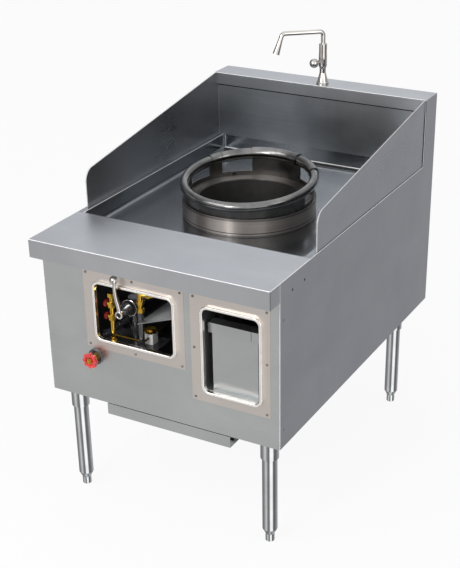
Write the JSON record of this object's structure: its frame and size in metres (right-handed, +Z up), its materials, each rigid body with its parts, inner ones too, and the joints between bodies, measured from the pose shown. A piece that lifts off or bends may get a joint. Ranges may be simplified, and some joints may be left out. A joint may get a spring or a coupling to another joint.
{
  "type": "wok burner",
  "caption": "Free-standing stainless wok range: deep well deck with a raised round chamber and lift-off wok ring, side splashes, back ledge with swing faucet, lever gas valve, bin and legs.",
  "frame": {"origin": "on the floor under the middle of the plan of the whole range", "axes": "+Z up, front shelf towards -Y, +X to the right seen from the front"},
  "size_m": [0.711, 1.071, 1.1667],
  "materials": {
    "panel_steel": "brushed stainless",
    "frame_steel": "warm brushed stainless",
    "polished_steel": "polished",
    "ring_steel": "satin stainless",
    "chrome_plate": "chrome plated",
    "cast_iron": "raw cast",
    "black_pipe": "black lacquer",
    "brass": "turned",
    "red_paint": "gloss enamel",
    "white_paint": "satin enamel",
    "dark_sheet": "dull sheet"
  },
  "bodies": {
    "cabinet": {"left_side_panel": "panel_steel", "right_side_panel": "panel_steel", "front_panel": "panel_steel", "rear_panel": "panel_steel", "base_pan": "panel_steel", "top_shelf": "panel_steel", "well_deck": "panel_steel", "deck_rails": "dark_sheet", "back_splash": "panel_steel", "back_ledge": "panel_steel", "left_splash": "panel_steel", "right_splash": "panel_steel", "chamber_drum": "polished_steel", "chamber_liner": "cast_iron", "burner_head": "cast_iron", "burner_jets": "brass", "mixing_tube": "cast_iron", "burner_stand": "dark_sheet", "gas_feed_pipe": "black_pipe", "shutoff_valve": "brass", "panel_flange": "black_pipe", "gas_riser": "black_pipe", "main_valve": "black_pipe", "burner_pipe": "black_pipe", "valve_bracket": "dark_sheet", "pilot_column": "brass", "safety_valve": "white_paint", "safety_cap": "brass", "pilot_tubes": "brass", "heat_shield": "dark_sheet", "left_frame_plate": "frame_steel", "right_frame_plate": "frame_steel", "left_bezel": "polished_steel", "right_bezel": "polished_steel", "frame_screws": "chrome_plate", "side_screws": "chrome_plate", "bin_compartment": "dark_sheet", "tray_runners": "dark_sheet", "leg_sockets": "polished_steel", "leg_tubes": "polished_steel", "faucet_body": "chrome_plate", "faucet_locknut": "brass", "faucet_nut": "chrome_plate"},
    "wok_ring": {"wok_ring_skirt": "ring_steel", "wok_ring_tube": "ring_steel", "wok_ring_caps": "ring_steel"},
    "lever": {"gas_lever": "chrome_plate", "lever_ball": "chrome_plate", "valve_spindle": "dark_sheet"},
    "shutoff_wheel": {"handwheel": "red_paint"},
    "upper_knob": {"upper_pilot_knob": "red_paint"},
    "lower_knob": {"lower_pilot_knob": "red_paint"},
    "spout": {"faucet_spout": "chrome_plate"},
    "tap_handle": {"faucet_handle": "chrome_plate"},
    "bin": {"catch_bin": "panel_steel"},
    "tray": {"drip_tray": "panel_steel"},
    "foot_front_left": {"front_left_foot": "polished_steel"},
    "foot_front_right": {"front_right_foot": "polished_steel"},
    "foot_rear_left": {"rear_left_foot": "polished_steel"},
    "foot_rear_right": {"rear_right_foot": "polished_steel"}
  },
  "joints": [
    {"name": "ring_lift", "type": "slide", "parent": "cabinet", "child": "wok_ring", "axis": [0, 0, 1], "range_m": [0, 0.15]},
    {"name": "lever_turn", "type": "hinge", "parent": "cabinet", "child": "lever", "pos_m": [-0.112, -0.4915, 0.61], "axis": [0, 1, 0], "range_deg": [0, 90]},
    {"name": "shutoff_turn", "type": "hinge", "parent": "cabinet", "child": "shutoff_wheel", "pos_m": [-0.203, -0.5115, 0.461], "axis": [0, -1, 0], "range_deg": [0, 1080]},
    {"name": "upper_knob_turn", "type": "hinge", "parent": "cabinet", "child": "upper_knob", "pos_m": [-0.178, -0.4595, 0.617], "axis": [1, 0, 0], "range_deg": [0, 90]},
    {"name": "lower_knob_turn", "type": "hinge", "parent": "cabinet", "child": "lower_knob", "pos_m": [-0.178, -0.4595, 0.58], "axis": [1, 0, 0], "range_deg": [0, 90]},
    {"name": "spout_swing", "type": "hinge", "parent": "cabinet", "child": "spout", "pos_m": [0.006, 0.4795, 1.1], "axis": [0, 0, 1], "continuous": true},
    {"name": "tap_turn", "type": "hinge", "parent": "cabinet", "child": "tap_handle", "pos_m": [-0.009, 0.45352, 1.0645], "axis": [-0.5, -0.866, 0], "range_deg": [0, 90]},
    {"name": "bin_slide", "type": "slide", "parent": "cabinet", "child": "bin", "axis": [0, -1, 0], "range_m": [0, 0.24]},
    {"name": "tray_slide", "type": "slide", "parent": "cabinet", "child": "tray", "axis": [0, -1, 0], "range_m": [0, 0.45]},
    {"name": "front_left_foot_adjust", "type": "slide", "parent": "cabinet", "child": "foot_front_left", "axis": [0, 0, -1], "range_m": [0, 0.025]},
    {"name": "front_right_foot_adjust", "type": "slide", "parent": "cabinet", "child": "foot_front_right", "axis": [0, 0, -1], "range_m": [0, 0.025]},
    {"name": "rear_left_foot_adjust", "type": "slide", "parent": "cabinet", "child": "foot_rear_left", "axis": [0, 0, -1], "range_m": [0, 0.025]},
    {"name": "rear_right_foot_adjust", "type": "slide", "parent": "cabinet", "child": "foot_rear_right", "axis": [0, 0, -1], "range_m": [0, 0.025]}
  ]
}
